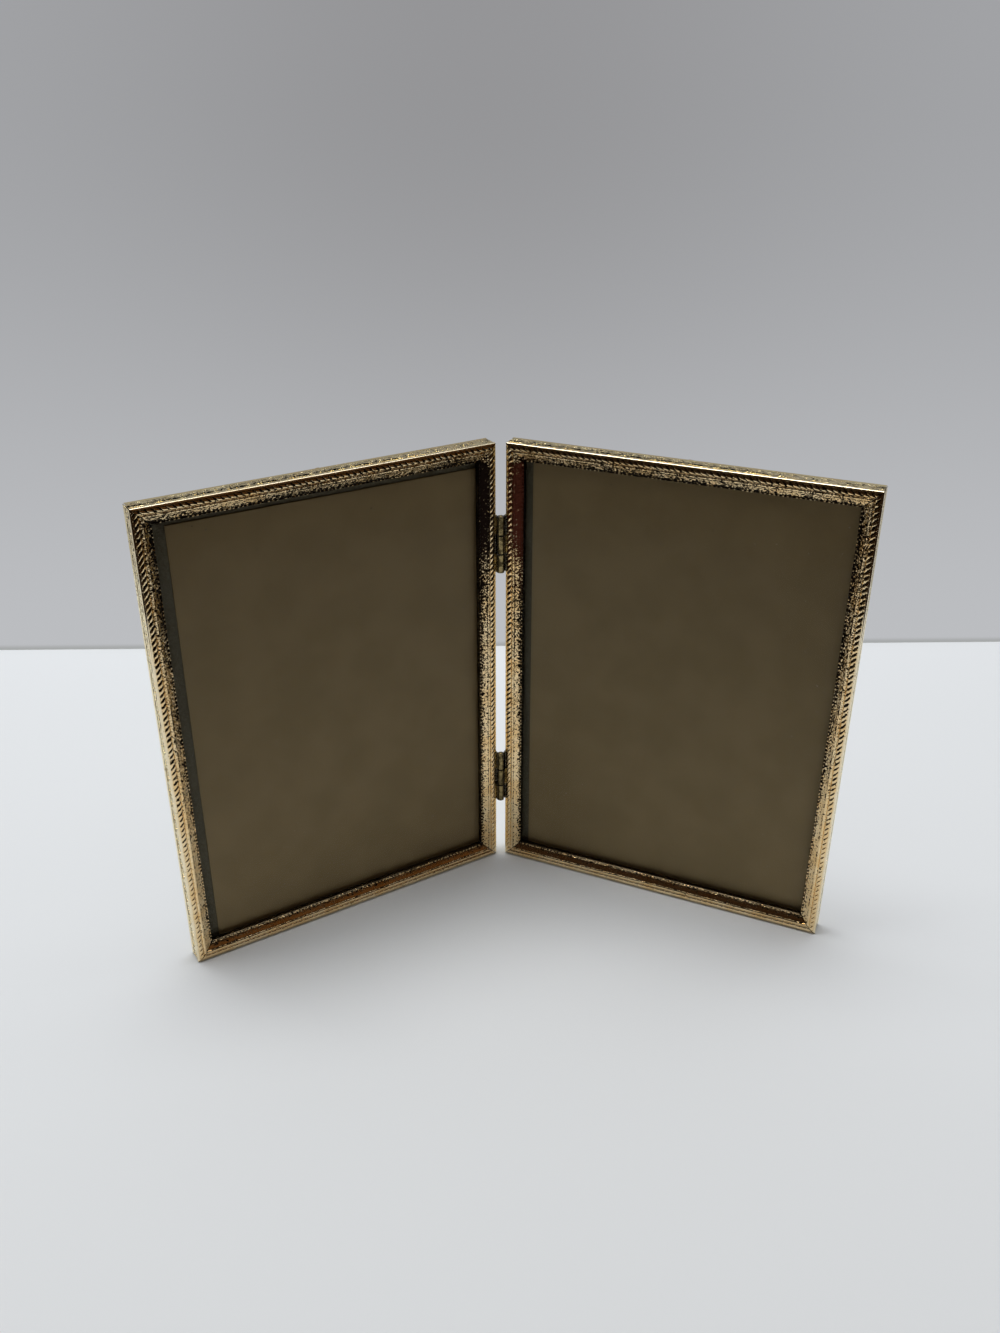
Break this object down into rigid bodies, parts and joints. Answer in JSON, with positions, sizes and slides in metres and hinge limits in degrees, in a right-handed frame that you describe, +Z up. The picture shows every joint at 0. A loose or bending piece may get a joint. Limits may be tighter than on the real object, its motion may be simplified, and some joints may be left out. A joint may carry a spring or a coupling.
{
  "type": "hinged double photo frame",
  "caption": "Pair of embossed gold-tone metal photo frames joined by small brass hinges; stands open like a book, folds shut face to face, and holds a glazed print in each panel.",
  "frame": {"origin": "on the table under the middle of the standing object's box, with the fold open 125 degrees", "axes": "+X from the left panel to the right panel, +Y from the open side back to the hinges, +Z up"},
  "size_m": [0.2514, 0.0694, 0.1866],
  "materials": {
    "gold_moulding": "polished antiqued gold tone, embossed rope bead and speckled face",
    "hinge_brass": "dark antique brass",
    "button_brass": "stamped brass, lightly tarnished",
    "key_steel": "plain stamped steel",
    "clear_glass": "clear float glass",
    "brown_card": "matte olive-brown card",
    "grey_board": "matte grey-green board",
    "flocked_cover": "flocked dark brown cover on board"
  },
  "bodies": {
    "left_panel": {"left_bottom_rail": "gold_moulding", "left_top_rail": "gold_moulding", "left_outer_stile": "gold_moulding", "left_hinge_stile": "gold_moulding", "left_corner_keys": "key_steel", "left_glass": "clear_glass", "left_insert_card": "brown_card", "left_backing_board": "grey_board", "left_back_cover": "flocked_cover", "left_turn_button_rivets": "button_brass", "left_hinge_rivets": "hinge_brass", "left_lower_hinge_leaf": "hinge_brass", "left_upper_hinge_leaf": "hinge_brass", "lower_hinge_pin": "hinge_brass", "upper_hinge_pin": "hinge_brass"},
    "right_panel": {"right_bottom_rail": "gold_moulding", "right_top_rail": "gold_moulding", "right_outer_stile": "gold_moulding", "right_hinge_stile": "gold_moulding", "right_corner_keys": "key_steel", "right_glass": "clear_glass", "right_insert_card": "brown_card", "right_backing_board": "grey_board", "right_back_cover": "flocked_cover", "right_turn_button_rivets": "button_brass", "right_hinge_rivets": "hinge_brass", "right_lower_hinge_leaf": "hinge_brass", "right_upper_hinge_leaf": "hinge_brass"},
    "left_bottom_turn_button": {"left_bottom_turn_button": "button_brass"},
    "left_top_turn_button": {"left_top_turn_button": "button_brass"},
    "left_hinge_turn_button": {"left_hinge_turn_button": "button_brass"},
    "left_outer_turn_button": {"left_outer_turn_button": "button_brass"},
    "right_bottom_turn_button": {"right_bottom_turn_button": "button_brass"},
    "right_top_turn_button": {"right_top_turn_button": "button_brass"},
    "right_hinge_turn_button": {"right_hinge_turn_button": "button_brass"},
    "right_outer_turn_button": {"right_outer_turn_button": "button_brass"}
  },
  "joints": [
    {"name": "fold", "type": "hinge", "parent": "left_panel", "child": "right_panel", "pos_m": [0, 0.02772, 0], "axis": [0, 0, 1], "range_deg": [-125, 65]},
    {"name": "left_bottom_turn_button_swivel", "type": "hinge", "parent": "left_panel", "child": "left_bottom_turn_button", "pos_m": [-0.06528, 0.00281, 0.002], "axis": [-0.4617, 0.887, 0], "range_deg": [-90, 90]},
    {"name": "left_top_turn_button_swivel", "type": "hinge", "parent": "left_panel", "child": "left_top_turn_button", "pos_m": [-0.06528, 0.00281, 0.1846], "axis": [-0.4617, 0.887, 0], "range_deg": [-90, 90]},
    {"name": "left_hinge_turn_button_swivel", "type": "hinge", "parent": "left_panel", "child": "left_hinge_turn_button", "pos_m": [-0.00682, 0.03324, 0.0933], "axis": [-0.4617, 0.887, 0], "range_deg": [-90, 90]},
    {"name": "left_outer_turn_button_swivel", "type": "hinge", "parent": "left_panel", "child": "left_outer_turn_button", "pos_m": [-0.12373, -0.02762, 0.0933], "axis": [-0.4617, 0.887, 0], "range_deg": [-90, 90]},
    {"name": "right_bottom_turn_button_swivel", "type": "hinge", "parent": "right_panel", "child": "right_bottom_turn_button", "pos_m": [0.06528, 0.00281, 0.002], "axis": [0.4617, 0.887, 0], "range_deg": [-90, 90]},
    {"name": "right_top_turn_button_swivel", "type": "hinge", "parent": "right_panel", "child": "right_top_turn_button", "pos_m": [0.06528, 0.00281, 0.1846], "axis": [0.4617, 0.887, 0], "range_deg": [-90, 90]},
    {"name": "right_hinge_turn_button_swivel", "type": "hinge", "parent": "right_panel", "child": "right_hinge_turn_button", "pos_m": [0.00682, 0.03324, 0.0933], "axis": [0.4617, 0.887, 0], "range_deg": [-90, 90]},
    {"name": "right_outer_turn_button_swivel", "type": "hinge", "parent": "right_panel", "child": "right_outer_turn_button", "pos_m": [0.12373, -0.02762, 0.0933], "axis": [0.4617, 0.887, 0], "range_deg": [-90, 90]}
  ]
}
